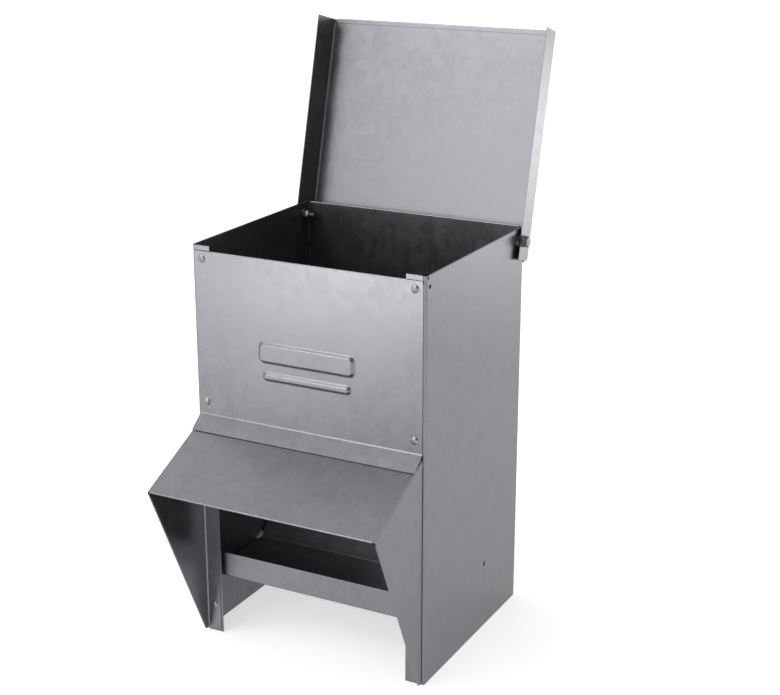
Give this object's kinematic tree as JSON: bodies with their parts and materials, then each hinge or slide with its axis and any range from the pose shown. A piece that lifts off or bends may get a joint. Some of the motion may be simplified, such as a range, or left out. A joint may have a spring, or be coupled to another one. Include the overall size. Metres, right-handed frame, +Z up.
{
  "type": "hopper feeder",
  "caption": "Upright sheet-metal feed hopper on the floor, with a hinged lid, a sloping inner floor, an open feed tray low in front and a sloping visor with side cheeks over it.",
  "frame": {"origin": "floor level, in the middle of the body's rectangular footprint, without the visor and the lid", "axes": "+X to the feeder's right as seen by someone facing its front, +Y to the back panel, +Z up. The lid stands open at rest."},
  "size_m": [0.271, 0.3765, 0.6002],
  "materials": {
    "galvanized_sheet": "hot-dip galvanized sheet, dull grey with a faint crystal pattern",
    "zinc_hardware": "zinc-plated bolts, nuts and washers, satin",
    "rivet_metal": "plain set blind rivets, satin"
  },
  "bodies": {
    "body": {"back_panel": "galvanized_sheet", "flow_baffle": "galvanized_sheet", "front_panel": "galvanized_sheet", "hopper_floor": "galvanized_sheet", "left_front_lower_rivet": "rivet_metal", "left_front_upper_rivet": "rivet_metal", "left_hinge_bolt": "zinc_hardware", "left_hinge_head_washer": "zinc_hardware", "left_hinge_inner_washer": "zinc_hardware", "left_hinge_nut": "zinc_hardware", "left_hinge_spacer": "zinc_hardware", "left_side_panel": "galvanized_sheet", "left_visor_lower_rivet": "rivet_metal", "left_visor_upper_rivet": "rivet_metal", "right_front_lower_rivet": "rivet_metal", "right_front_upper_rivet": "rivet_metal", "right_hinge_bolt": "zinc_hardware", "right_hinge_head_washer": "zinc_hardware", "right_hinge_inner_washer": "zinc_hardware", "right_hinge_nut": "zinc_hardware", "right_hinge_spacer": "zinc_hardware", "right_side_panel": "galvanized_sheet", "right_visor_lower_rivet": "rivet_metal", "right_visor_upper_rivet": "rivet_metal", "visor": "galvanized_sheet"},
    "lid": {"lid": "galvanized_sheet"}
  },
  "joints": [
    {"name": "lid_hinge", "type": "hinge", "parent": "body", "child": "lid", "pos_m": [0, 0.0985, 0.3945], "axis": [1, 0, 0], "range_deg": [0, 107.05]}
  ]
}
